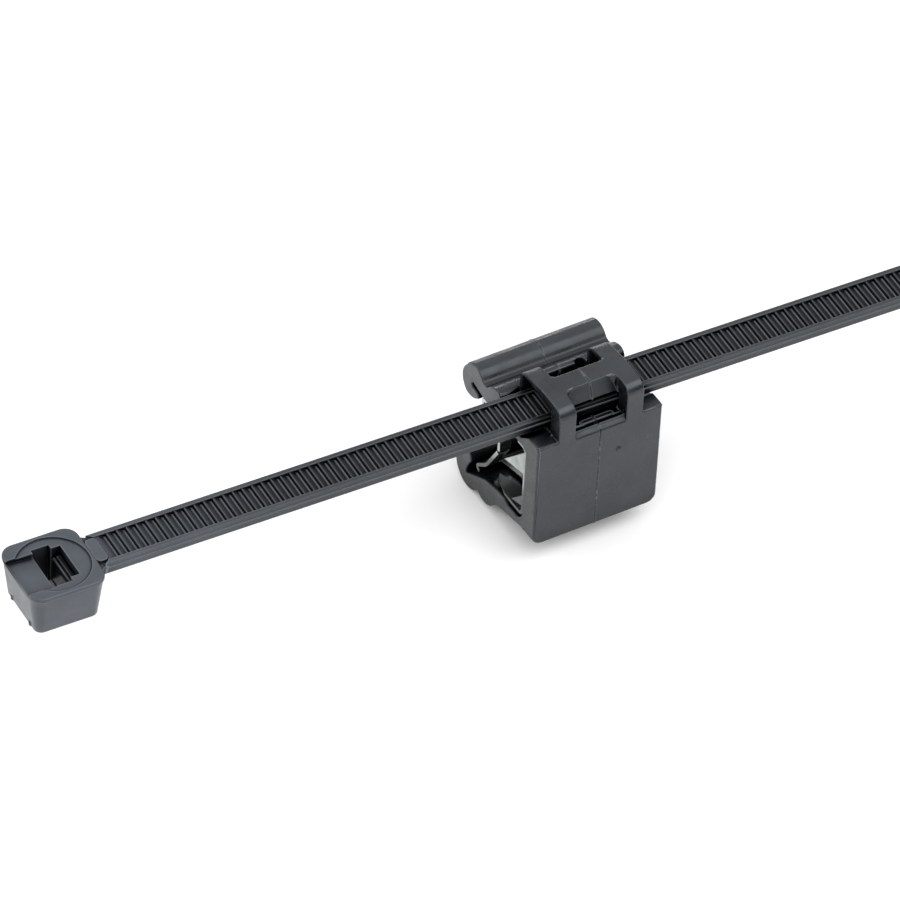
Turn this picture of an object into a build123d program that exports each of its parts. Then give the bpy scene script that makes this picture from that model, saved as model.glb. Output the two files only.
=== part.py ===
from build123d import *
import os
from math import cos, radians, sin, tan

os.makedirs("parts", exist_ok=True)

# Millimetres. X runs along the clip, Y from the front plate to the mouth, Z upwards.
# Sizes are drawn from the middle of the saddle, on the seat that the strap lies on. At the end all
# parts are moved together, so that the origin lies on the clamp's web, where the panel's edge stops.

# Cable tie
strap_w = 4.7
strap_t = 1.3
strap_edge = 0.06
strap_upper_t = 0.55
strap_upper_in = 0.08
tie_length = 200.0
tie_skew = 2.4
band_w = 3.4
band_sink = 0.1
tooth_pitch = 1.06
tooth_crest = 0.1
tooth_root = 0.08
tooth_back = 0.14
tooth_depth = 0.38
head_l = 8.2
head_w = 8.5
head_h = 5.1
head_r = 1.5
head_draft = 7.0
head_cap_t = 0.6
head_cap_out = 0.12
head_reach = 62.4
head_rim = 0.2
nub_r = 0.3
nub_y = 2.0
nub_h = 0.45
nub_out = 0.15
disc_r = 3.8
disc_depth = 0.15
entry_t = 1.9
entry_w = 5.5
entry_offset = 3.0
cavity_t = 1.0
cavity_w = 4.4
cavity_floor = 0.9
lead_in_w = 5.2
lead_in_depth = 0.7
lead_in_edge = 0.45
neck_l = 1.0
neck_w = 4.2
neck_drop = 0.3
tail_l = 24.0
tail_tip_w = 2.4

# Clip body
clip_w = 14.5
side_play = 0.3
seat_play = 0.05
seat_w = 3.8
channel_z = -1.1
front_y = -4.65
wall_t = 2.4
plate_drop = 13.3
plate_corner_r = 1.1
plate_rim_r = 0.3
plate_bevel = 0.5
pit_x = 2.25
pit_z = -3.9
pit_r = 0.18
pit_depth = 0.07
rib_w = 1.95
rib_inner_x = 2.95
rib_top = 4.05
rib_back_y = 3.3
arch_t = 0.9
ridge_y = 3.7
ridge_top = 1.25
notch_w = 1.1
bridge_back_y = 0.3
bridge_front_y = -2.1
bridge_foot_y = -2.7
bridge_foot_z = 2.15
bridge_blend = 0.5
bridge_front_blend = 1.0
bar_y = -3.3
bar_w = 0.55
bar_top = 0.15
groove_w = 0.5
groove_depth = 0.6
ceiling_z = -1.95
floor_z = -11.5

# Spring clamp
sheet_t = 0.4
clamp_w = 14.1
clamp_arm_w = 11.6
clamp_foot_w = 8.8
clamp_play = 0.1
prong_w = 1.35

half_w = clip_w / 2
inner_y = front_y + wall_t
foot_y = inner_y - 0.5
tunnel_w = strap_w + clip_w * sin(radians(tie_skew)) + side_play
tunnel_top = rib_top - arch_t
slot_back_y = ridge_y - 0.2

# Front plate, drawn from the front
with BuildPart() as clip_body:
    with BuildSketch(Plane.XZ.offset(-front_y)) as plate_face:
        with Locations((0, -plate_drop / 2)):
            Rectangle(clip_w, plate_drop)
        fillet(plate_face.vertices().group_by(Axis.Y)[0], radius=plate_corner_r)
    extrude(amount=front_y - foot_y)
    plate_rim = clip_body.faces().sort_by(Axis.Y)[0].edges().sort_by(Axis.Z)
    chamfer(plate_rim[-1], length=plate_bevel)
    side_rim = clip_body.faces().sort_by(Axis.Y)[0].edges().sort_by(Axis.Z)[:-1]
    fillet(side_rim, radius=plate_rim_r)

    # Gate mark on its face
    with BuildSketch(Plane.XZ.offset(-front_y)):
        with Locations((pit_x, pit_z)):
            Circle(pit_r)
    extrude(amount=-pit_depth, mode=Mode.SUBTRACT)

    # Behind it a C, drawn from the end
    with BuildSketch(Plane.YZ):
        # Top wall with the channel, the ridge and the curled upper jaw
        with BuildLine():
            Polyline((foot_y, ceiling_z - 1), (foot_y, 0), (inner_y - 0.15, -0.25))
            Polyline((inner_y - 0.15, -0.25), (-1.2, channel_z), (2.4, channel_z), (ridge_y - 0.9, 0.2))
            ThreePointArc((ridge_y - 0.9, 0.2), (ridge_y - 0.55, ridge_top - 0.15), (ridge_y, ridge_top))
            ThreePointArc((ridge_y, ridge_top), (ridge_y + 0.9, ridge_top - 0.25), (ridge_y + 1.7, 0.3))
            ThreePointArc((ridge_y + 1.7, 0.3), (ridge_y + 2.2, 0.15), (ridge_y + 2.7, 0.35))
            ThreePointArc((ridge_y + 2.7, 0.35), (8.2, 1.15), (9.6, 0.05))
            ThreePointArc((9.6, 0.05), (10.3, -1.85), (9.4, -3.35))
            ThreePointArc((9.4, -3.35), (8.3, -3.4), (7.3, -2.85))
            ThreePointArc((7.3, -2.85), (7.05, -2.45), (7.35, -2.15))
            Line((7.35, -2.15), (8.0, -2.0))
            ThreePointArc((8.0, -2.0), (8.42, -1.6), (8.1, -1.3))
            Polyline((8.1, -1.3), (5.6, ceiling_z + 0.1), (inner_y + 0.6, ceiling_z))
            Polyline((inner_y + 0.6, ceiling_z), (inner_y, ceiling_z - 0.45), (inner_y, ceiling_z - 1))
            Line((inner_y, ceiling_z - 1), (foot_y, ceiling_z - 1))
        make_face()

        # Lower jaw with its inward nose
        with BuildLine():
            Polyline((foot_y, ceiling_z - 1), (inner_y, ceiling_z - 1), (inner_y, floor_z + 1.1))
            ThreePointArc((inner_y, floor_z + 1.1), (inner_y + 0.35, floor_z + 0.05), (-0.7, floor_z - 0.35))
            Polyline((-0.7, floor_z - 0.35), (0.4, floor_z - 0.4), (1.1, floor_z), (2.7, floor_z - 0.05))
            Polyline((2.7, floor_z - 0.05), (4.9, floor_z - 0.5), (8.6, floor_z - 2.5))
            ThreePointArc((8.6, floor_z - 2.5), (8.4, floor_z - 1.6), (7.75, floor_z - 0.4))
            ThreePointArc((7.75, floor_z - 0.4), (8.9, floor_z + 1.0), (10.2, floor_z - 0.2))
            ThreePointArc((10.2, floor_z - 0.2), (10.3, floor_z - 2.9), (8.6, floor_z - 4.1))
            ThreePointArc((8.6, floor_z - 4.1), (7.6, floor_z - 4.05), (6.9, floor_z - 3.7))
            Line((6.9, floor_z - 3.7), (6.3, floor_z - 3.1))
            ThreePointArc((6.3, floor_z - 3.1), (4.7, floor_z - 3.6), (3.3, floor_z - 2.8))
            Polyline((3.3, floor_z - 2.8), (2.4, floor_z - 2.0), (inner_y, floor_z - 1.1))
            Polyline((inner_y, floor_z - 1.1), (foot_y, floor_z - 1.1), (foot_y, ceiling_z - 1))
        make_face()
    extrude(amount=half_w, both=True)

    # Seat block between the walls of the channel, under the saddle
    with BuildSketch():
        Rectangle(2 * (rib_inner_x + rib_w), seat_w)
    extrude(amount=channel_z - 0.2)

    # The ridge stands back between the ribs
    with BuildSketch(Plane.XY.offset(channel_z)):
        with Locations((0, (seat_w / 2 + slot_back_y) / 2)):
            Rectangle(2 * rib_inner_x, slot_back_y - seat_w / 2)
        with Locations((rib_inner_x - notch_w / 2, slot_back_y), (notch_w / 2 - rib_inner_x, slot_back_y)):
            RectangleRounded(notch_w, 1.3 * notch_w, notch_w / 2 - 0.05)
    extrude(amount=ridge_top - channel_z + 0.5, mode=Mode.SUBTRACT)

    # Ribs: arches over the strap, their legs flush with the front plate
    with BuildSketch(Plane.YZ.offset(rib_inner_x)) as rib_face:
        with BuildLine():
            Line((front_y, -2 * plate_bevel), (front_y, rib_top - 1.35))
            ThreePointArc((front_y, rib_top - 1.35), (front_y + 0.4, rib_top - 0.45), (-3.35, rib_top - 0.1))
            ThreePointArc((-3.35, rib_top - 0.1), (-0.9, rib_top), (rib_back_y - 1.1, rib_top - 0.35))
            ThreePointArc(
                (rib_back_y - 1.1, rib_top - 0.35),
                (rib_back_y - 0.25, rib_top - 0.9),
                (rib_back_y, rib_top - 1.8),
            )
            Polyline((rib_back_y, rib_top - 1.8), (rib_back_y, channel_z - 0.2))
            Line((rib_back_y, channel_z - 0.2), (front_y + 1, channel_z - 0.2))
            Line((front_y + 1, channel_z - 0.2), (front_y, -2 * plate_bevel))
        make_face()
    ribs = extrude(amount=rib_w)
    mirror(ribs, about=Plane.YZ)

    # Tunnel through both ribs for the strap
    with BuildSketch(Plane.YZ):
        with Locations((0, tunnel_top / 2)):
            RectangleRounded(tunnel_w, tunnel_top, 0.5)
        with Locations((0, tunnel_top / 4)):
            Rectangle(tunnel_w, tunnel_top / 2)
    extrude(amount=rib_inner_x + rib_w, both=True, mode=Mode.SUBTRACT)

    # Bridge: the bar that joins the ribs over the strap, flush with their crests
    with BuildSketch(Plane.YZ):
        add(rib_face.sketch_local)
        Polygon(
            (bridge_back_y, tunnel_top),
            (bridge_back_y, rib_top + 1),
            (bridge_front_y, rib_top + 1),
            (bridge_front_y, rib_top - 0.25),
            (bridge_foot_y, bridge_foot_z),
            (bridge_foot_y + 0.4, bridge_foot_z),
            (bridge_front_y + 0.5, tunnel_top),
            align=None,
            mode=Mode.INTERSECT,
        )
    extrude(amount=rib_inner_x, both=True)
    back_ends = clip_body.edges().filter_by_position(Axis.Y, bridge_back_y - 0.01, bridge_back_y + 0.01)
    fillet(back_ends.filter_by(Axis.Z), radius=bridge_blend)

    # Concave corners where the front of the bridge runs into the ribs
    with BuildPart(mode=Mode.PRIVATE) as front_blends:
        with BuildSketch(Plane.XY.offset(bridge_foot_z)):
            with BuildLine():
                arc_x = rib_inner_x - bridge_front_blend
                arc_y = bridge_front_y - bridge_front_blend
                Line((rib_inner_x, bridge_front_y), (rib_inner_x, arc_y))
                RadiusArc((rib_inner_x, arc_y), (arc_x, bridge_front_y), -bridge_front_blend)
                Polyline((arc_x, bridge_front_y), (arc_x, bridge_front_y + 0.4))
                Polyline((arc_x, bridge_front_y + 0.4), (rib_inner_x, bridge_front_y + 0.4))
                Line((rib_inner_x, bridge_front_y + 0.4), (rib_inner_x, bridge_front_y))
            make_face()
            mirror(about=Plane.YZ)
        extrude(amount=rib_top)
        with BuildSketch(Plane.YZ):
            add(rib_face.sketch_local)
        extrude(amount=rib_inner_x, both=True, mode=Mode.INTERSECT)
    add(front_blends.part)

    # Groove in the top of the plate, and the stop bar behind it
    with BuildSketch():
        with Locations((0, bar_y - bar_w / 2 - groove_w / 2)):
            Rectangle(2 * rib_inner_x, groove_w)
    extrude(amount=-groove_depth, mode=Mode.SUBTRACT)
    with BuildSketch():
        with Locations((0.3, bar_y)):
            SlotOverall(3.7, bar_w)
    extrude(amount=bar_top)
clip_body.part.label = "clip_body"

# Spring clamp: one strip of sheet bent to a U, with a barb folded inwards at the end of each arm
web_y = inner_y + clamp_play + sheet_t / 2
upper_z = ceiling_z - clamp_play - sheet_t / 2
lower_z = floor_z + clamp_play + sheet_t / 2
with BuildPart() as spring_clamp:
    with BuildSketch(Plane.YZ):
        with BuildLine():
            FilletPolyline(
                (3.05, upper_z - 4.35),
                (3.05, upper_z - 2.9),
                (7.3, upper_z),
                (web_y, upper_z),
                (web_y, lower_z),
                (2.6, lower_z),
                (7.9, lower_z - 1.25),
                (5.2, lower_z + 0.9),
                (3.2, lower_z + 4.3),
                radius=[0.6, 0.35, 0.6, 0.6, 2.0, 0.35, 3.0],
            )
        trace(line_width=sheet_t)
    extrude(amount=clamp_w / 2, both=True)

    # The arms are narrower than the barbs
    with BuildSketch(Plane.YZ.offset(clamp_arm_w / 2)):
        with Locations((2.3, upper_z)):
            Rectangle(5.4, 2 * sheet_t)
    with BuildSketch(Plane.YZ.offset(clamp_foot_w / 2)):
        Polygon(
            (-0.4, lower_z - 0.6),
            (-0.4, lower_z + 0.5),
            (2.8, lower_z + 0.5),
            (6.4, lower_z - 0.48),
            (6.4, lower_z - 1.6),
            align=None,
        )
    arm_trims = extrude(amount=clamp_w, mode=Mode.SUBTRACT)
    mirror(arm_trims, about=Plane.YZ, mode=Mode.SUBTRACT)

    # Only a prong is left of each barb at either end
    with BuildSketch(Plane.YZ):
        Polygon(
            (1.7, upper_z - 0.4),
            (1.7, lower_z + 0.4),
            (2.8, lower_z + 0.4),
            (7.3, lower_z - 0.7),
            (9.0, lower_z - 0.7),
            (9.0, upper_z - 0.4),
            align=None,
        )
    extrude(amount=clamp_w / 2 - prong_w, both=True, mode=Mode.SUBTRACT)

    # Teeth that point to the mouth, beside the root of the lower arm
    with BuildSketch(Plane.XY.offset(lower_z - sheet_t / 2)):
        Polygon(
            (clamp_foot_w / 2 - 0.3, -0.6),
            (clamp_w / 2, -0.6),
            (clamp_w / 2, 1.4),
            (clamp_w / 2 - 0.55, 3.7),
            (clamp_w / 2 - 1.1, 4.2),
            (clamp_w / 2 - 1.9, 1.6),
            (clamp_foot_w / 2 - 0.3, 1.0),
            align=None,
        )
    lower_teeth = extrude(amount=sheet_t)
    mirror(lower_teeth, about=Plane.YZ)

    # Ears at the ends of the web, bent towards the mouth
    with BuildSketch(Plane.YZ.offset(clamp_w / 2 - sheet_t)):
        Polygon((web_y, upper_z - 0.4), (1.9, upper_z - 4.4), (web_y, upper_z - 3.4), align=None)
        Polygon((web_y, lower_z + 2.7), (0.2, lower_z + 0.5), (web_y, lower_z + 1.2), align=None)
    ears = extrude(amount=sheet_t)
    mirror(ears, about=Plane.YZ)
spring_clamp.part.label = "spring_clamp"

# Cable tie, drawn on its own plane: the strap runs through the saddle at a slight skew
skew = radians(tie_skew)
along = (cos(skew), -sin(skew), 0)
tie_plane = Plane(origin=(0, 0, seat_play), x_dir=along, z_dir=(0, 0, 1))
side_plane = Plane(origin=(0, 0, seat_play), x_dir=along, z_dir=(-sin(skew), -cos(skew), 0))
top_plane = tie_plane.offset(strap_t)
head_end = head_l - head_reach
strap_start = head_end + neck_l
strap_end = tie_length - head_reach
tooth_count = int((strap_end - tail_l - strap_start) / tooth_pitch)
band_l = tooth_count * tooth_pitch
block_l = head_l - 2 * head_cap_out
block_w = head_w - 2 * head_cap_out
foot_in = head_cap_out + (head_h - head_cap_t) * tan(radians(head_draft))
nub_x = foot_in + nub_r - nub_out - head_reach
tooth_root_x = tooth_pitch - tooth_crest - tooth_back - tooth_root
with BuildPart() as cable_tie:
    # Head: a block with drafted sides under a cap that stands out a little
    with BuildSketch(top_plane):
        with Locations((head_l / 2 - head_reach, 0)):
            RectangleRounded(head_l, head_w, head_r)
    extrude(amount=-head_cap_t)
    fillet(cable_tie.faces().sort_by(Axis.Z)[-1].edges(), radius=head_rim)
    chamfer(cable_tie.faces().sort_by(Axis.Z)[0].edges(), length=head_cap_out)
    with BuildSketch(top_plane.offset(-head_cap_t)):
        with Locations((head_l / 2 - head_reach, 0)):
            RectangleRounded(block_l, block_w, head_r - head_cap_out)
    extrude(amount=head_cap_t - head_h, taper=head_draft)

    # Two nubs at its foot
    with BuildSketch(top_plane.offset(-head_h)):
        with Locations((nub_x, nub_y), (nub_x, -nub_y)):
            Circle(nub_r)
    extrude(amount=nub_h)

    # Strap, with its tapered tail; its upper part is a little narrower
    with BuildSketch(tie_plane) as strap_face:
        with BuildLine():
            Polyline((strap_start, -strap_w / 2), (strap_end - tail_l, -strap_w / 2))
            Line((strap_end - tail_l, -strap_w / 2), (strap_end - 1, -tail_tip_w / 2))
            ThreePointArc((strap_end - 1, -tail_tip_w / 2), (strap_end, 0), (strap_end - 1, tail_tip_w / 2))
            Line((strap_end - 1, tail_tip_w / 2), (strap_end - tail_l, strap_w / 2))
            Polyline((strap_end - tail_l, strap_w / 2), (strap_start, strap_w / 2))
            Line((strap_start, strap_w / 2), (strap_start, -strap_w / 2))
        make_face()
    extrude(amount=strap_t - strap_upper_t)
    with BuildSketch(top_plane):
        add(strap_face.sketch_local)
        offset(amount=-strap_upper_in, kind=Kind.INTERSECTION, mode=Mode.REPLACE)
    extrude(amount=-strap_upper_t)
    long_edges = cable_tie.edges().filter_by(GeomType.LINE).sort_by(SortBy.LENGTH)[-8:]
    chamfer(long_edges.group_by(Axis.Z)[-1] + long_edges.group_by(Axis.Z)[0], length=strap_edge)

    # Teeth in a shallow channel between the two plain margins
    with BuildSketch(top_plane):
        with Locations((strap_start + band_l / 2, 0)):
            Rectangle(band_l, band_w)
    extrude(amount=-band_sink, mode=Mode.SUBTRACT)
    with BuildSketch(side_plane):
        with Locations((strap_start + band_l / 2, strap_t - band_sink)):
            with GridLocations(tooth_pitch, 0, tooth_count, 1):
                Polygon(
                    (0, 0),
                    (tooth_root_x, -tooth_depth),
                    (tooth_root_x + tooth_root, -tooth_depth),
                    (tooth_pitch - tooth_crest, 0),
                    align=None,
                )
    extrude(amount=band_w / 2, both=True, mode=Mode.SUBTRACT)

    # Neck, with the pad that stands on it
    with BuildSketch(tie_plane):
        with BuildLine():
            ThreePointArc((head_end - 0.6, 3.3), (head_end + 0.1, 2.5), (strap_start, neck_w / 2))
            Polyline((strap_start, neck_w / 2), (strap_start, 0), (head_end - 0.6, 0), (head_end - 0.6, 3.3))
        make_face()
        mirror(about=Plane.XZ)
    extrude(amount=strap_t - neck_drop)
    with BuildSketch(tie_plane):
        with Locations((strap_start - neck_l / 2 + 0.1, 0)):
            RectangleRounded(neck_l + 0.3, 3.3, 0.5)
    extrude(amount=strap_t)

    # Shallow round step, sloped lead-in, entry for the strap and the cavity of the pawl
    entry_x = entry_offset - head_reach
    with BuildSketch(top_plane):
        with Locations((head_l / 2 - head_reach, 0)):
            Circle(disc_r)
    extrude(amount=-disc_depth, mode=Mode.SUBTRACT)
    with BuildSketch(side_plane.offset(0.3)):
        with Locations((entry_x, strap_t)):
            Polygon(
                (0.1, 0.1),
                (0.1, -lead_in_depth),
                (-entry_offset - 0.1, -lead_in_edge),
                (-entry_offset - 0.1, 0.1),
                align=None,
            )
    extrude(amount=lead_in_w / 2, both=True, mode=Mode.SUBTRACT)
    with BuildSketch(top_plane):
        with Locations((entry_x + entry_t / 2, 0)):
            Rectangle(entry_t, entry_w)
    extrude(amount=-head_h, mode=Mode.SUBTRACT)
    with BuildSketch(top_plane):
        with Locations((entry_x + entry_t + cavity_t / 2 - 0.1, 0)):
            Rectangle(cavity_t + 0.2, cavity_w)
    extrude(amount=cavity_floor - head_h, mode=Mode.SUBTRACT)

    # Pawl: a tongue that rises from the floor of the cavity and leans into the entry
    with BuildSketch(side_plane):
        with Locations((entry_x + entry_t + cavity_t, strap_t - head_h)):
            Polygon(
                (0.3, 0.4),
                (0.3, 1.6),
                (-0.02, 3.5),
                (-0.1, 3.9),
                (-0.5, 3.95),
                (-0.55, 3.7),
                (-0.68, 3.7),
                (-0.75, 3.88),
                (-0.92, 3.83),
                (-1.05, 3.4),
                (-0.9, 0.7),
                (-0.3, 0.4),
                align=None,
            )
    extrude(amount=cavity_w / 2 - 0.3, both=True)
cable_tie.part.label = "cable_tie"

to_edge_stop = Pos(0, -web_y - sheet_t / 2, -(upper_z + lower_z) / 2)
export_step(to_edge_stop * clip_body.part, "parts/clip_body.step")
export_step(to_edge_stop * spring_clamp.part, "parts/spring_clamp.step")
export_step(to_edge_stop * cable_tie.part, "parts/cable_tie.step")
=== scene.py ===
"""Looks of an edge clip with a cable tie threaded through its saddle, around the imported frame."""

import logging
import math
from dataclasses import dataclass, field
from enum import Enum

import bpy
from mathutils import Matrix, Vector
from mathutils.bvhtree import BVHTree


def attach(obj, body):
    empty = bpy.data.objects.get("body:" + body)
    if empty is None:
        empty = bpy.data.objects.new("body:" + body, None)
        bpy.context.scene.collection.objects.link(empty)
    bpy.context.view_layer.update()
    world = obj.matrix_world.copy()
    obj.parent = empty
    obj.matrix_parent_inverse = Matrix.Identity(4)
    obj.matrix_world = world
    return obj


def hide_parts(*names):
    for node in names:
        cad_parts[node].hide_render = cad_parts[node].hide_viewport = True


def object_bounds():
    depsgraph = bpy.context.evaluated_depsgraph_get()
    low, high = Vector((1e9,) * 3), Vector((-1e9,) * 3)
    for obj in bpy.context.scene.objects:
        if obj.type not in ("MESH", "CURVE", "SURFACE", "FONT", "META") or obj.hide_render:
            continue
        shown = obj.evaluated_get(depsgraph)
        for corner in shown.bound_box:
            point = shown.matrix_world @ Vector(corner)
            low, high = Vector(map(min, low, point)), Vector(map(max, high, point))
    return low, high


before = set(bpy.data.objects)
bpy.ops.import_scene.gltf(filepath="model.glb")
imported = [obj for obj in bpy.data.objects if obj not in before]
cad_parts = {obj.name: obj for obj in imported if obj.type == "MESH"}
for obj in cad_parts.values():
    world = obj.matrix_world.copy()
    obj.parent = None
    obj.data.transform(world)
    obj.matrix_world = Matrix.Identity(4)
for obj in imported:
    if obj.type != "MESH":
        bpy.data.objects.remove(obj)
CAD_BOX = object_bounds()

logging.basicConfig(level=logging.INFO, format="%(message)s")
log = logging.getLogger("edge_clip")

MM = 0.001
# Corners of the CAD's loose triangles closer than this, in millimetres, are one
MERGE_GAP = 0.0005
# A bisect's own tolerance, in metres, small enough for a flash a tenth of a millimetre wide
CUT_GAP = 1e-8
# Rays that look for neighbouring walls at each point
WALL_SAMPLES = 6
# Shares of free rays inside the form, on a flat face and on an outer edge, between which the
# painted edge highlight rises
FLAT_TO_EDGE = (0.95, 0.35)
WHITE = (1.0, 1.0, 1.0, 1.0)
# The paper lies this far under the clip, in millimetres
FLOOR_GAP = 0.02
# The middle of the saddle, on the seat under the strap, in the frame's millimetres
SADDLE = Vector((0.0, 1.75, 6.725))


class Body(Enum):
    """The two rigid bodies of the frame."""

    CLIP = "clip"
    TIE = "tie"


class Slot(Enum):
    """The record's material slots."""

    NYLON = "nylon"
    STEEL = "spring_steel"


def from_saddle(x: float, y: float, z: float) -> Vector:
    """Turns millimetres from the saddle's seat into metres of the frame.

    Args:
        x: Distance along the clip.
        y: Distance towards the mouth.
        z: Height over the seat.

    Returns:
        The point in the frame.
    """
    return (SADDLE + Vector((x, y, z))) * MM


def deselect_all() -> None:
    """Leaves edit mode and deselects every object."""
    if bpy.context.object is not None and bpy.context.object.mode != "OBJECT":
        bpy.ops.object.mode_set(mode="OBJECT")
    bpy.ops.object.select_all(action="DESELECT")


def make_active(obj: bpy.types.Object) -> None:
    """Selects one object alone and makes it active.

    Args:
        obj: The object.
    """
    deselect_all()
    obj.select_set(True)
    bpy.context.view_layer.objects.active = obj


def keep_in_box(mesh: bpy.types.Mesh) -> None:
    """Moves every vertex that lies outside the CAD's own box onto it.

    Args:
        mesh: The mesh, in the frame's place.
    """
    low, high = CAD_BOX
    for vertex in mesh.vertices:
        for axis in range(3):
            vertex.co[axis] = min(max(vertex.co[axis], low[axis]), high[axis])


def remap(
    tree: bpy.types.NodeTree,
    value: bpy.types.NodeSocket,
    before: tuple[float, float],
    after: tuple[float, float],
) -> bpy.types.NodeSocket:
    """Maps a value from one range to another and clamps it.

    Args:
        tree: The nodes it is added to.
        value: The value.
        before: Its range.
        after: The range that it is mapped to.

    Returns:
        The mapped value.
    """
    node = tree.nodes.new("ShaderNodeMapRange")
    node.inputs["From Min"].default_value, node.inputs["From Max"].default_value = before
    node.inputs["To Min"].default_value, node.inputs["To Max"].default_value = after
    tree.links.new(value, node.inputs["Value"])
    return node.outputs["Result"]


def noise(
    tree: bpy.types.NodeTree,
    place: bpy.types.NodeSocket,
    size: float,
    detail: float,
    gain: float = 0.5,
) -> bpy.types.NodeSocket:
    """Adds a noise.

    Args:
        tree: The material's nodes.
        place: The coordinates.
        size: Size of its spots, in millimetres.
        detail: How many finer layers it has.
        gain: How strong each finer layer is, as a share of the one before.

    Returns:
        The noise's value.
    """
    node = tree.nodes.new("ShaderNodeTexNoise")
    node.inputs["Scale"].default_value = 1.0 / (size * MM)
    node.inputs["Detail"].default_value = detail
    node.inputs["Roughness"].default_value = gain
    tree.links.new(place, node.inputs["Vector"])
    return node.outputs["Fac"]


def two_tones(
    tree: bpy.types.NodeTree,
    value: bpy.types.NodeSocket,
    span: tuple[float, float],
    low: tuple[float, float, float],
    high: tuple[float, float, float],
) -> bpy.types.NodeSocket:
    """Turns a value into a colour between two tones.

    Args:
        tree: The material's nodes.
        value: The value.
        span: Where the first tone ends and the second starts.
        low: The first tone.
        high: The second tone.

    Returns:
        The colour.
    """
    ramp = tree.nodes.new("ShaderNodeValToRGB")
    for stop, position, tone in zip(ramp.color_ramp.elements, span, (low, high)):
        stop.position = position
        stop.color = (*tone, 1.0)
    tree.links.new(value, ramp.inputs["Fac"])
    return ramp.outputs["Color"]


def new_material(name: str) -> tuple[bpy.types.Material, bpy.types.Node, bpy.types.NodeSocket]:
    """Starts a node material.

    Args:
        name: Its name.

    Returns:
        The material, its shader and the object's coordinates.
    """
    mat = bpy.data.materials.new(name)
    mat.use_nodes = True
    place = mat.node_tree.nodes.new("ShaderNodeTexCoord")
    return mat, mat.node_tree.nodes["Principled BSDF"], place.outputs["Object"]


def painted_shade_factor(
    tree: bpy.types.NodeTree, distance: float, power: float
) -> bpy.types.NodeSocket:
    """Adds the mask of the painted shade: nodes that fall from 1 on open faces towards 0 in
    crevices.

    Args:
        tree: The material's nodes.
        distance: How far a neighbouring wall still counts, in millimetres.
        power: How fast the value falls.

    Returns:
        The socket with the factor.
    """
    # Painted shade: ambient occlusion darkens the surface where neighbouring walls hide the open
    # room.
    painted_shade = tree.nodes.new("ShaderNodeAmbientOcclusion")
    painted_shade.samples = WALL_SAMPLES
    painted_shade.inputs["Distance"].default_value = distance * MM
    fall = tree.nodes.new("ShaderNodeMath")
    fall.operation = "POWER"
    fall.inputs[1].default_value = power
    tree.links.new(painted_shade.outputs["AO"], fall.inputs[0])
    return fall.outputs["Value"]


def edge_highlight_factor(tree: bpy.types.NodeTree, distance: float) -> bpy.types.NodeSocket:
    """Adds the mask of the painted highlight: nodes that rise from 0 on flat faces towards 1 along
    outer edges.

    Args:
        tree: The material's nodes.
        distance: Reach of an edge, in millimetres.

    Returns:
        The socket with the factor.
    """
    depth = tree.nodes.new("ShaderNodeAmbientOcclusion")
    depth.samples = WALL_SAMPLES
    depth.inside = True
    depth.inputs["Distance"].default_value = distance * MM
    return remap(tree, depth.outputs["AO"], FLAT_TO_EDGE, (0.0, 1.0))


def product(
    tree: bpy.types.NodeTree, first: bpy.types.NodeSocket, second: bpy.types.NodeSocket | float
) -> bpy.types.NodeSocket:
    """Multiplies a factor by another factor or by a number.

    Args:
        tree: The material's nodes.
        first: The factor.
        second: The other factor, or a number.

    Returns:
        The product.
    """
    node = tree.nodes.new("ShaderNodeMath")
    node.operation = "MULTIPLY"
    tree.links.new(first, node.inputs[0])
    if isinstance(second, float):
        node.inputs[1].default_value = second
    else:
        tree.links.new(second, node.inputs[1])
    return node.outputs["Value"]


def shaded(
    tree: bpy.types.NodeTree, colour: bpy.types.NodeSocket, factor: bpy.types.NodeSocket
) -> bpy.types.NodeSocket:
    """Multiplies a colour by a factor.

    Args:
        tree: The material's nodes.
        colour: The colour.
        factor: The factor.

    Returns:
        The darkened colour.
    """
    mix = tree.nodes.new("ShaderNodeVectorMath")
    mix.operation = "SCALE"
    tree.links.new(colour, mix.inputs[0])
    tree.links.new(factor, mix.inputs["Scale"])
    return mix.outputs["Vector"]


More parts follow.
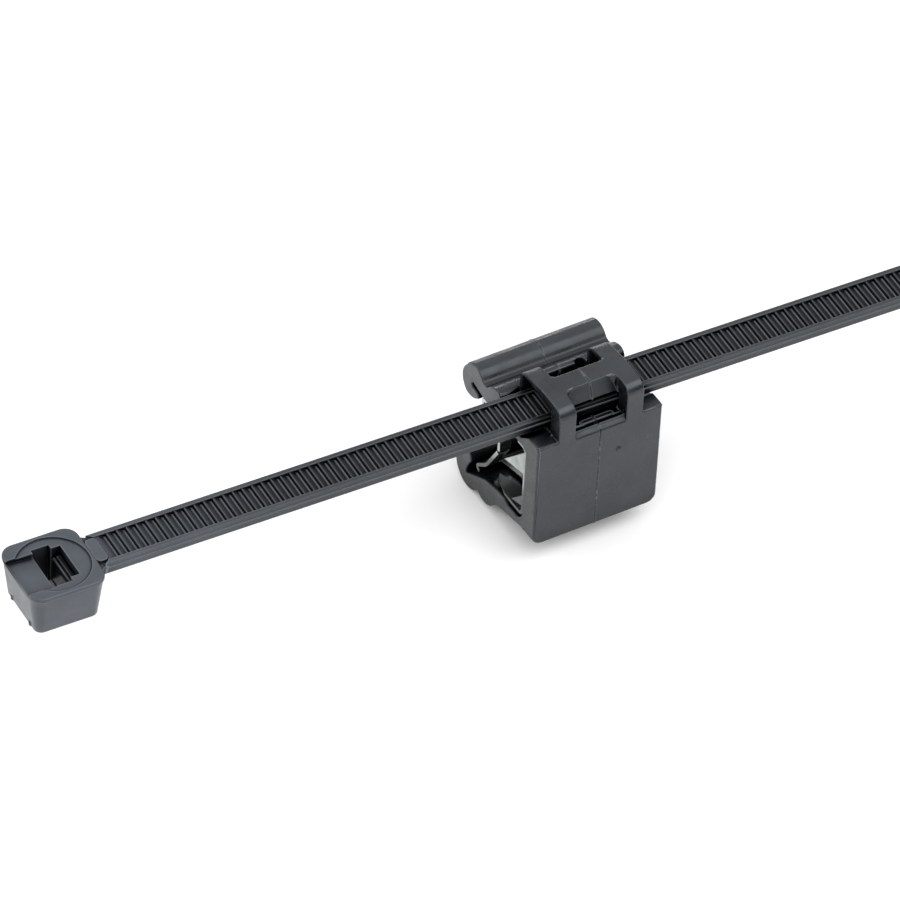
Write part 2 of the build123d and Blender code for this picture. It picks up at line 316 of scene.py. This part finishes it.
@dataclass(frozen=True)
class MouldedNylon:
    """Dark moulded nylon with a fine skin, painted shade in its crevices and a painted highlight
    along its edges.

    Attributes:
        name: The material's name.
        deep: Colour of the darker parts of the skin.
        pale: Colour of the lighter parts of the skin.
        sheen: Tint of its reflections and of its painted highlight.
        ior: Its index of refraction.
        shine: Its specular level on open faces, lowered by the painted shade in crevices.
        cloud: Size of the colour's clouds, in millimetres.
        cloud_span: Values of the clouds at the deep and the pale colour.
        wear: Size of the polished and dull spots, in millimetres.
        wear_span: Values of the spots at the low and the high roughness.
        rough_low: Roughness where the mould was polished.
        rough_high: Roughness where the mould was dull.
        grain: Size of the skin's grain, in millimetres.
        grain_depth: Depth of that grain, in millimetres.
        grain_strength: How strongly that grain turns the light.
        flow: Size of the shallow waves of the skin, in millimetres.
        flow_depth: Depth of those waves, in millimetres.
        flow_strength: How strongly those waves turn the light.
        painted_shade_reach: How far a wall casts painted shade on the foot of its neighbour, in
            millimetres.
        painted_shade_power: How strongly that painted shade darkens it.
        cave_shade_reach: How far the walls of a deep hole cast painted shade into it, in
            millimetres.
        cave_shade_power: How strongly that painted shade darkens it.
        coat: Weight of the glossy skin.
        coat_rough: Roughness of the glossy skin.
        highlight_reach: Width of the painted highlight, a paler line along outer edges, in
            millimetres.
        highlight_tone: How pale that painted highlight is.
        highlight_patch: Size of the specks it is broken into, in millimetres; 0 leaves it whole.
        speck_span: Values of the specks where the painted highlight starts and where it is full.
        painted_light_x: The stretch along the clip over which the painted light fades, in
            millimetres.
        painted_light_gain: How much paler the painted light makes the skin before that stretch.
    """

    name: str
    deep: tuple[float, float, float] = (0.0036, 0.0043, 0.0055)
    pale: tuple[float, float, float] = (0.0165, 0.0190, 0.0235)
    sheen: tuple[float, float, float] = (0.87, 0.94, 1.0)
    ior: float = 1.53
    shine: float = 0.5
    cloud: float = 4.0
    cloud_span: tuple[float, float] = (0.3, 0.72)
    wear: float = 1.8
    wear_span: tuple[float, float] = (0.3, 0.7)
    rough_low: float = 0.18
    rough_high: float = 0.42
    grain: float = 0.16
    grain_depth: float = 0.008
    grain_strength: float = 0.2
    flow: float = 1.3
    flow_depth: float = 0.008
    flow_strength: float = 0.5
    painted_shade_reach: float = 0.5
    painted_shade_power: float = 1.2
    cave_shade_reach: float = 5.0
    cave_shade_power: float = 1.3
    coat: float = 0.1
    coat_rough: float = 0.13
    highlight_reach: float = 0.15
    highlight_tone: float = 0.085
    highlight_patch: float = 0.0
    speck_span: tuple[float, float] = (0.52, 0.62)
    painted_light_x: tuple[float, float] = (-100.0, -90.0)
    painted_light_gain: float = 1.0

    def build(self) -> bpy.types.Material:
        """Builds the node material.

        Returns:
            The material.
        """
        mat, shader, place = new_material(self.name)
        tree = mat.node_tree
        shader.inputs["IOR"].default_value = self.ior
        shader.inputs["Specular Tint"].default_value = (*self.sheen, 1.0)
        shader.inputs["Coat Weight"].default_value = self.coat
        shader.inputs["Coat Roughness"].default_value = self.coat_rough
        # Painted shade: colour and reflections are darkened at the foot of walls and in deep holes.
        foot_shade = painted_shade_factor(tree, self.painted_shade_reach, self.painted_shade_power)
        cave_shade = painted_shade_factor(tree, self.cave_shade_reach, self.cave_shade_power)
        painted_shade = product(tree, foot_shade, cave_shade)
        tree.links.new(self.colour(tree, place, painted_shade), shader.inputs["Base Color"])
        # Painted shade on the reflections: the specular level falls in crevices.
        tree.links.new(product(tree, painted_shade, self.shine), shader.inputs["Specular IOR Level"])
        wear = noise(tree, place, self.wear, 6.0)
        rough = remap(tree, wear, self.wear_span, (self.rough_low, self.rough_high))
        tree.links.new(rough, shader.inputs["Roughness"])
        tree.links.new(self.relief(tree, place), shader.inputs["Normal"])
        return mat

    def colour(
        self, tree: bpy.types.NodeTree, place: bpy.types.NodeSocket, painted_shade: bpy.types.NodeSocket
    ) -> bpy.types.NodeSocket:
        """Adds the clouded colour, with painted shade in crevices, a painted highlight along outer
        edges and painted light that makes it paler at low X.

        Args:
            tree: The material's nodes.
            place: The coordinates.
            painted_shade: The factor of the painted shade in crevices.

        Returns:
            The colour.
        """
        clouds = noise(tree, place, self.cloud, 5.0, gain=0.6)
        tone = two_tones(tree, clouds, self.cloud_span, self.deep, self.pale)
        # Painted light: the skin is made paler before a stretch along X; on the tie this lightens
        # the head.
        axes = tree.nodes.new("ShaderNodeSeparateXYZ")
        tree.links.new(place, axes.inputs["Vector"])
        stretch = (self.painted_light_x[0] * MM, self.painted_light_x[1] * MM)
        painted_light = remap(tree, axes.outputs["X"], stretch, (self.painted_light_gain, 1.0))
        dark = shaded(tree, tone, product(tree, painted_shade, painted_light))
        # Painted highlight: a paler line along outer edges, tinted like the reflections.
        edge_highlight = product(tree, edge_highlight_factor(tree, self.highlight_reach), self.highlight_tone)
        if self.highlight_patch > 0.0:
            specks = noise(tree, place, self.highlight_patch, 2.0)
            edge_highlight = product(tree, edge_highlight, remap(tree, specks, self.speck_span, (0.0, 1.0)))
        highlight_tint = tree.nodes.new("ShaderNodeVectorMath")
        highlight_tint.operation = "SCALE"
        highlight_tint.inputs[0].default_value = self.sheen
        tree.links.new(edge_highlight, highlight_tint.inputs["Scale"])
        shaded_and_lit = tree.nodes.new("ShaderNodeVectorMath")
        tree.links.new(dark, shaded_and_lit.inputs[0])
        tree.links.new(highlight_tint.outputs["Vector"], shaded_and_lit.inputs[1])
        return shaded_and_lit.outputs["Vector"]

    def relief(
        self, tree: bpy.types.NodeTree, place: bpy.types.NodeSocket
    ) -> bpy.types.NodeSocket:
        """Adds the shallow waves and the fine grain of the skin.

        Args:
            tree: The material's nodes.
            place: The coordinates.

        Returns:
            The normal.
        """
        swell = tree.nodes.new("ShaderNodeBump")
        swell.inputs["Strength"].default_value = self.flow_strength
        swell.inputs["Distance"].default_value = self.flow_depth * MM
        tree.links.new(noise(tree, place, self.flow, 2.0), swell.inputs["Height"])
        skin = tree.nodes.new("ShaderNodeBump")
        skin.inputs["Strength"].default_value = self.grain_strength
        skin.inputs["Distance"].default_value = self.grain_depth * MM
        tree.links.new(noise(tree, place, self.grain, 3.0), skin.inputs["Height"])
        tree.links.new(swell.outputs["Normal"], skin.inputs["Normal"])
        return skin.outputs["Normal"]


@dataclass(frozen=True)
class GalvanisedSheet:
    """Zinc-coated spring steel with faint spangles, oxidised spots, and painted shade in its
    hollows and on its lower parts.

    Attributes:
        name: The material's name.
        bright: Colour of the clean zinc.
        dull: Colour of the oxidised zinc.
        zinc_span: Values of the pattern at the dull and the bright colour.
        spangle: Size of a spangle, in millimetres.
        spangle_share: How much the spangles add to the oxidised spots.
        tarnish: Size of the oxidised spots, in millimetres.
        rough_low: Roughness of the clean zinc.
        rough_high: Roughness of the oxidised zinc.
        painted_shade_reach: How far a wall casts painted shade on its neighbours, in millimetres.
        painted_shade_power: How strongly that painted shade darkens them.
        low_shade_top: Height at which the painted shade on the lower steel ends, in the frame's
            millimetres.
        low_shade_fade: Height over which it fades.
        low_shade_tone: What that painted shade leaves of the colour.
    """

    name: str
    bright: tuple[float, float, float] = (0.56, 0.60, 0.58)
    dull: tuple[float, float, float] = (0.33, 0.36, 0.34)
    zinc_span: tuple[float, float] = (0.42, 0.78)
    spangle: float = 0.9
    spangle_share: float = 0.25
    tarnish: float = 2.2
    rough_low: float = 0.16
    rough_high: float = 0.32
    painted_shade_reach: float = 5.0
    painted_shade_power: float = 1.6
    low_shade_top: float = -0.6
    low_shade_fade: float = 1.2
    low_shade_tone: float = 0.28

    def build(self) -> bpy.types.Material:
        """Builds the node material.

        Returns:
            The material.
        """
        mat, shader, place = new_material(self.name)
        tree = mat.node_tree
        shader.inputs["Metallic"].default_value = 1.0
        spangles = tree.nodes.new("ShaderNodeTexVoronoi")
        spangles.inputs["Scale"].default_value = 1.0 / (self.spangle * MM)
        tree.links.new(place, spangles.inputs["Vector"])
        tarnish = noise(tree, place, self.tarnish, 5.0)
        blend = tree.nodes.new("ShaderNodeMath")
        blend.operation = "MULTIPLY_ADD"
        blend.inputs[1].default_value = self.spangle_share
        tree.links.new(spangles.outputs["Distance"], blend.inputs[0])
        tree.links.new(tarnish, blend.inputs[2])
        tone = two_tones(tree, blend.outputs["Value"], self.zinc_span, self.dull, self.bright)
        # Painted shade: the zinc is darkened in its hollows and below a height, deep inside the
        # clip.
        painted_shade = painted_shade_factor(tree, self.painted_shade_reach, self.painted_shade_power)
        axes = tree.nodes.new("ShaderNodeSeparateXYZ")
        tree.links.new(place, axes.inputs["Vector"])
        heights = ((self.low_shade_top - self.low_shade_fade) * MM, self.low_shade_top * MM)
        low_shade = remap(tree, axes.outputs["Z"], heights, (self.low_shade_tone, 1.0))
        steel_shade = product(tree, painted_shade, low_shade)
        tree.links.new(shaded(tree, tone, steel_shade), shader.inputs["Base Color"])
        rough = remap(tree, tarnish, (0.0, 1.0), (self.rough_low, self.rough_high))
        tree.links.new(rough, shader.inputs["Roughness"])
        return mat


@dataclass(frozen=True)
class StudioPaper:
    """White paper that keeps its shadow and shows as white behind the object.

    Attributes:
        name: The material's name.
        tone: The paper's tone.
        mottle: How much that tone varies.
        fibre: Size of the variation, in millimetres.
        rough: Its roughness.
        lift: The glow that the camera alone sees.
    """

    name: str = "studio_paper"
    tone: float = 0.86
    mottle: float = 0.01
    fibre: float = 50.0 / 3.0
    rough: float = 0.9
    lift: float = 0.05

    def build(self) -> bpy.types.Material:
        """Builds the node material.

        Returns:
            The material.
        """
        mat, shader, place = new_material(self.name)
        tree = mat.node_tree
        shader.inputs["Roughness"].default_value = self.rough
        shader.inputs["Emission Color"].default_value = WHITE
        fibre = noise(tree, place, self.fibre, 2.0)
        low, high = (self.tone - self.mottle,) * 3, (self.tone + self.mottle,) * 3
        tree.links.new(two_tones(tree, fibre, (0.0, 1.0), low, high), shader.inputs["Base Color"])
        ray = tree.nodes.new("ShaderNodeLightPath")
        lift = product(tree, ray.outputs["Is Camera Ray"], self.lift)
        tree.links.new(lift, shader.inputs["Emission Strength"])
        return mat


@dataclass
class SoftCopy:
    """A copy of a CAD node whose sharp edges are rounded as in a moulding or a cut sheet.

    Attributes:
        node: The CAD node that the copy stands for.
        name: The copy's own name.
        body: The body it rides on.
        slot: The record's slot of its finish; not used.
        radius: Edge radius in millimetres.
        steps: Segments across the rounded edge.
        crease: Smallest angle, in degrees, that counts as an edge.
        flat: Largest angle, in degrees, between triangles of one flat face.
        smooth: Largest angle, in degrees, that is shaded smooth.
        stray: Share of the radius beyond which a corner is drawn back.
    """

    node: str
    name: str
    body: Body
    slot: Slot
    radius: float
    steps: int = 3
    crease: float = 30.0
    flat: float = 0.4
    smooth: float = 48.0
    stray: float = 0.75

    def build(self, material: bpy.types.Material) -> bpy.types.Object:
        """Copies, merges, rounds and dresses the node.

        Args:
            material: The finish.

        Returns:
            The new piece.
        """
        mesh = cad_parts[self.node].data.copy()
        mesh.name = self.name
        obj = bpy.data.objects.new(self.name, mesh)
        bpy.context.collection.objects.link(obj)
        make_active(obj)
        bpy.ops.object.mode_set(mode="EDIT")
        bpy.ops.mesh.select_all(action="SELECT")
        bpy.ops.mesh.remove_doubles(threshold=MERGE_GAP * MM)
        bpy.ops.mesh.dissolve_limited(angle_limit=math.radians(self.flat))
        bpy.ops.object.mode_set(mode="OBJECT")
        self.reshape(mesh)
        self.round_edges(obj)
        mesh.materials.clear()
        mesh.materials.append(material)
        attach(obj, self.body.value)
        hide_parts(self.node)
        log.info("%s: %d faces", self.name, len(mesh.polygons))
        return obj

    def reshape(self, mesh: bpy.types.Mesh) -> None:
        """Leaves the form as it is; a piece with a form of its own changes it here.

        Args:
            mesh: The copy's mesh.
        """

    def round_edges(self, obj: bpy.types.Object) -> None:
        """Rounds every edge over the crease angle.

        Args:
            obj: The copy.
        """
        sharp = BVHTree.FromObject(obj, bpy.context.evaluated_depsgraph_get())
        bevel = obj.modifiers.new("edges", "BEVEL")
        bevel.width = self.radius * MM
        bevel.segments = self.steps
        bevel.limit_method = "ANGLE"
        bevel.angle_limit = math.radians(self.crease)
        bevel.use_clamp_overlap = False
        bevel.miter_outer = "MITER_ARC"
        bpy.ops.object.modifier_apply(modifier=bevel.name)
        strays = 0
        for vertex in obj.data.vertices:
            near, _normal, _index, gap = sharp.find_nearest(vertex.co)
            if gap > self.stray * self.radius * MM:
                vertex.co = near
                strays += 1
        keep_in_box(obj.data)
        log.info("%s: %d corners drawn back to the sharp form", self.name, strays)
        bpy.ops.object.shade_smooth_by_angle(angle=math.radians(self.smooth))
        normals = obj.modifiers.new("normals", "WEIGHTED_NORMAL")
        normals.keep_sharp = True
        bpy.ops.object.modifier_apply(modifier=normals.name)


@dataclass
class ClipCopy(SoftCopy):
    """The copy of the clip body, its plate nearly square-edged beside the ribs.

    Attributes:
        front_y: The plate's face, from the saddle.
        rib_outer_x: The ribs' outer sides.
        bevel: The bevel on the plate's top edge.
        kept: What is left of that bevel beside the ribs.
        near: How far a corner may lie from its line.
    """

    front_y: float = -4.65
    rib_outer_x: float = 4.9
    bevel: float = 0.5
    kept: float = 0.12
    near: float = 0.05

    def reshape(self, mesh: bpy.types.Mesh) -> None:
        """Draws the bevel's two edges together beside the ribs.

        Args:
            mesh: The copy's mesh.
        """
        moved = 0
        back_y = self.front_y + self.bevel
        for vertex in mesh.vertices:
            spot = vertex.co / MM - SADDLE
            if abs(spot.x) < self.rib_outer_x - self.near or spot.y > back_y + self.near:
                continue
            if abs(spot.z + self.bevel) < self.near and spot.y < back_y - 2 * self.near:
                spot.z = -self.kept
            elif abs(spot.z) < self.near / 2 and abs(spot.y - back_y) < self.near:
                spot.y = self.front_y + self.kept
            else:
                continue
            vertex.co = (spot + SADDLE) * MM
            moved += 1
        log.info("%s: %d corners of the plate's top edge moved", self.name, moved)


@dataclass
class ClipBody:
    """The nylon clip body.

    Attributes:
        finish: Its nylon.
        flash_finish: The nylon of the flash, with a painted highlight in specks along its edges.
        edge: Radius of its moulded edges, in millimetres.
        seam_w: Width of the parting line's flash.
        seam_h: Height of that flash.
        seam_smooth: Largest angle, in degrees, that is shaded smooth on the flash.
        nub_place: Middle of the nub on the roll, from the saddle.
        nub_half: Half sizes of that nub.
        nub_sunk: How far its foot reaches into the roll.
        nub_flat: Where its torn-off tip is flat.
        nub_smooth: Largest angle, in degrees, that is shaded smooth on the nub.
    """

    finish: MouldedNylon = field(default_factory=lambda: MouldedNylon("clip_nylon"))
    flash_finish: MouldedNylon = field(
        default_factory=lambda: MouldedNylon(
            "flash_nylon",
            deep=(0.003, 0.0035, 0.004),
            pale=(0.006, 0.007, 0.008),
            coat=0.0,
            # Painted highlight in specks along the flash's edges.
            highlight_reach=0.2,
            highlight_tone=0.075,
            highlight_patch=0.7,
        )
    )
    edge: float = 0.15
    seam_w: float = 0.09
    seam_h: float = 0.045
    seam_smooth: float = 35.0
    nub_place: tuple[float, float, float] = (0.0, 9.55, 0.0)
    nub_half: tuple[float, float, float] = (0.28, 0.16, 0.16)
    nub_sunk: float = 0.1
    nub_flat: float = 0.13
    nub_smooth: float = 60.0

    def build(self) -> None:
        """Builds the body, its parting line and the nub."""
        material = self.finish.build()
        copy = ClipCopy("clip_body", "clip_moulding", Body.CLIP, Slot.NYLON, self.edge)
        copy.build(material)
        self.parting_line(self.flash_finish.build())
        self.gate_nub(material)

    def parting_line(self, material: bpy.types.Material) -> None:
        """Adds the thin flash that the mould leaves all round the body's middle.

        Args:
            material: The flash's nylon.
        """
        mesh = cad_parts["clip_body"].data.copy()
        obj = bpy.data.objects.new("parting_flash", mesh)
        bpy.context.collection.objects.link(obj)
        make_active(obj)
        bpy.ops.object.mode_set(mode="EDIT")
        bpy.ops.mesh.select_all(action="SELECT")
        bpy.ops.mesh.remove_doubles(threshold=MERGE_GAP * MM)
        for side in (1, -1):
            bpy.ops.mesh.select_all(action="SELECT")
            bpy.ops.mesh.bisect(
                plane_co=(side * self.seam_w / 2 * MM, 0, 0),
                plane_no=(side, 0, 0),
                use_fill=True,
                clear_outer=True,
                threshold=CUT_GAP,
            )
        bpy.ops.mesh.select_all(action="SELECT")
        bpy.ops.mesh.normals_make_consistent(inside=False)
        bpy.ops.transform.shrink_fatten(value=self.seam_h * MM)
        bpy.ops.object.mode_set(mode="OBJECT")
        keep_in_box(mesh)
        bpy.ops.object.shade_smooth_by_angle(angle=math.radians(self.seam_smooth))
        mesh.materials.clear()
        mesh.materials.append(material)
        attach(obj, Body.CLIP.value)
        log.info("parting_flash: %d faces", len(mesh.polygons))

    def gate_nub(self, material: bpy.types.Material) -> None:
        """Adds the nub that the mould leaves on the roll's back, on the parting line.

        Args:
            material: The body's nylon.
        """
        deselect_all()
        bpy.ops.mesh.primitive_uv_sphere_add(
            segments=20, ring_count=12, radius=1.0, location=from_saddle(*self.nub_place)
        )
        obj = bpy.context.object
        obj.name = "roll_nub"
        obj.scale = [half * MM for half in self.nub_half]
        bpy.ops.object.transform_apply(location=True, rotation=True, scale=True)
        bpy.ops.object.mode_set(mode="EDIT")
        bpy.ops.mesh.select_all(action="SELECT")
        for side, reach in ((-1, self.nub_sunk), (1, self.nub_flat)):
            bpy.ops.mesh.bisect(
                plane_co=from_saddle(*self.nub_place) + Vector((0.0, side * reach * MM, 0.0)),
                plane_no=(0.0, side, 0.0),
                use_fill=True,
                clear_outer=True,
                threshold=CUT_GAP,
            )
        bpy.ops.object.mode_set(mode="OBJECT")
        bpy.ops.object.shade_smooth_by_angle(angle=math.radians(self.nub_smooth))
        obj.data.materials.append(material)
        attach(obj, Body.CLIP.value)
        log.info("roll_nub: %d faces", len(obj.data.polygons))


@dataclass
class SpringClamp:
    """The steel insert.

    Attributes:
        finish: Its zinc-coated sheet.
        edge: Radius of its cut edges, in millimetres.
    """

    finish: GalvanisedSheet = field(default_factory=lambda: GalvanisedSheet("clamp_zinc"))
    edge: float = 0.04

    def build(self) -> None:
        """Builds the insert."""
        copy = SoftCopy("spring_clamp", "clamp_strip", Body.CLIP, Slot.STEEL, self.edge)
        copy.build(self.finish.build())


@dataclass
class TieCopy(SoftCopy):
    """The copy of the tie, its strap's margins drawn up to the neck's flare.

    Attributes:
        skew: The tie's turn in the saddle, in degrees.
        end_x: Where the margins start, along the tie from the saddle.
        margin_y: A distance from the tie's middle that only the margins pass.
        draw: How far the margins are drawn towards the head.
        window: How far before and behind their start a corner of the margins may lie.
    """

    skew: float = 2.4
    end_x: float = -53.2
    margin_y: float = 2.15
    draw: float = 0.6
    window: tuple[float, float] = (-0.02, 0.1)

    def reshape(self, mesh: bpy.types.Mesh) -> None:
        """Moves the front corners of the margins towards the head.

        Args:
            mesh: The copy's mesh.
        """
        turn = math.radians(self.skew)
        along = Vector((math.cos(turn), -math.sin(turn), 0.0))
        across = Vector((math.sin(turn), math.cos(turn), 0.0))
        moved = 0
        for vertex in mesh.vertices:
            spot = vertex.co / MM - SADDLE
            step = spot.dot(along) - self.end_x
            in_window = self.window[0] < step < self.window[1]
            if in_window and abs(spot.dot(across)) > self.margin_y:
                vertex.co -= along * self.draw * MM
                moved += 1
        log.info("%s: %d corners of the margins moved", self.name, moved)


@dataclass
class CableTie:
    """The cable tie.

    Attributes:
        finish: Its nylon.
        edge: Radius of its moulded edges, in millimetres.
    """

    finish: MouldedNylon = field(
        default_factory=lambda: MouldedNylon(
            "tie_nylon",
            deep=(0.0094, 0.0108, 0.0138),
            pale=(0.0150, 0.0172, 0.0214),
            rough_low=0.28,
            rough_high=0.40,
            # Painted shade in the grooves between the teeth.
            painted_shade_reach=0.3,
            painted_shade_power=3.0,
            cave_shade_reach=3.0,
            cave_shade_power=3.2,
            # Painted highlight along the edges of the teeth.
            highlight_reach=0.16,
            highlight_tone=0.12,
            # Painted light: the skin is paler towards the head.
            painted_light_x=(-54.0, -30.0),
            painted_light_gain=3.3,
        )
    )
    edge: float = 0.045

    def build(self) -> None:
        """Builds the tie."""
        copy = TieCopy("cable_tie", "tie_moulding", Body.TIE, Slot.NYLON, self.edge, steps=2)
        copy.build(self.finish.build())


@dataclass(frozen=True)
class Softbox:
    """A soft lamp that faces the clip.

    Attributes:
        name: Its name.
        place: Its place, in metres.
        size: Its width and depth, in metres.
        power: Its power, in watts.
    """

    name: str
    place: tuple[float, float, float]
    size: tuple[float, float]
    power: float

    def build(self) -> None:
        """Adds the lamp."""
        data = bpy.data.lights.new(self.name, "AREA")
        data.shape = "RECTANGLE"
        data.size, data.size_y = self.size
        data.energy = self.power
        obj = bpy.data.objects.new(self.name, data)
        obj.location = self.place
        obj.rotation_euler = (-Vector(self.place)).to_track_quat("-Z", "Y").to_euler()
        bpy.context.collection.objects.link(obj)


@dataclass
class Studio:
    """Floor, lamps, world and camera.

    Attributes:
        floor_z: Height of the floor, in metres.
        lens: The camera's focal length, in millimetres.
        sensor: The width of the camera's sensor, in millimetres.
        camera: The camera's place, in millimetres.
        target: The point that it looks at, in millimetres.
        roll: The camera's turn about its own axis, in degrees.
        wall_light: The room's light near the horizon.
        ceiling_light: The room's light overhead.
        wall_rise: Heights between which the light turns from the wall's to the ceiling's.
        floor_size: The paper's side, in metres.
        far: How far the camera sees, in metres.
        softboxes: The lamps.
    """

    floor_z: float
    lens: float = 351.7
    sensor: float = 36.0
    camera: tuple[float, float, float] = (-357.216, -536.059, 604.018)
    target: tuple[float, float, float] = (-15.185, 1.051, 7.0)
    roll: float = 3.183
    wall_light: float = 0.08
    ceiling_light: float = 1.15
    wall_rise: tuple[float, float] = (0.15, 0.72)
    floor_size: float = 6.0
    far: float = 10.0
    softboxes: tuple[Softbox, ...] = (
        Softbox("wide_softbox", (0.10, -0.38, 0.62), (1.3, 0.6), 5.0),
        Softbox("left_softbox", (-0.54, 0.30, 0.34), (0.5, 0.4), 1.3),
        Softbox("rim_softbox", (0.22, 0.90, 0.20), (0.5, 0.12), 1.1),
    )

    def build(self) -> None:
        """Builds the whole studio."""
        self.floor()
        for softbox in self.softboxes:
            softbox.build()
        self.world()
        self.place_camera()

    def floor(self) -> None:
        """Adds the paper floor."""
        deselect_all()
        bpy.ops.mesh.primitive_plane_add(size=self.floor_size, location=(0.0, 0.0, self.floor_z))
        obj = bpy.context.object
        obj.name = "paper_floor"
        obj.data.materials.append(StudioPaper().build())

    def world(self) -> None:
        """Lights the room: dim walls under a brighter ceiling."""
        world = bpy.data.worlds.new("room")
        world.use_nodes = True
        tree = world.node_tree
        back = tree.nodes["Background"]
        back.inputs["Color"].default_value = WHITE
        place = tree.nodes.new("ShaderNodeTexCoord")
        axes = tree.nodes.new("ShaderNodeSeparateXYZ")
        tree.links.new(place.outputs["Generated"], axes.inputs["Vector"])
        lights = (self.wall_light, self.ceiling_light)
        strength = remap(tree, axes.outputs["Z"], self.wall_rise, lights)
        tree.links.new(strength, back.inputs["Strength"])
        bpy.context.scene.world = world

    def place_camera(self) -> None:
        """Adds the camera at the photograph's angle."""
        data = bpy.data.cameras.new("camera")
        data.lens = self.lens
        data.sensor_width = self.sensor
        data.clip_end = self.far
        obj = bpy.data.objects.new("camera", data)
        place, target = Vector(self.camera) * MM, Vector(self.target) * MM
        aim = (target - place).to_track_quat("-Z", "Y").to_matrix().to_4x4()
        tilt = Matrix.Rotation(math.radians(self.roll), 4, "Z")
        obj.matrix_world = Matrix.Translation(place) @ aim @ tilt
        bpy.context.collection.objects.link(obj)
        bpy.context.scene.camera = obj


def main() -> None:
    """Builds every piece in order, then the studio."""
    bpy.context.scene.view_settings.view_transform = "Standard"
    ClipBody().build()
    SpringClamp().build()
    CableTie().build()
    Studio(floor_z=CAD_BOX[0][2] - FLOOR_GAP * MM).build()
    deselect_all()


if __name__ == "__main__":
    main()
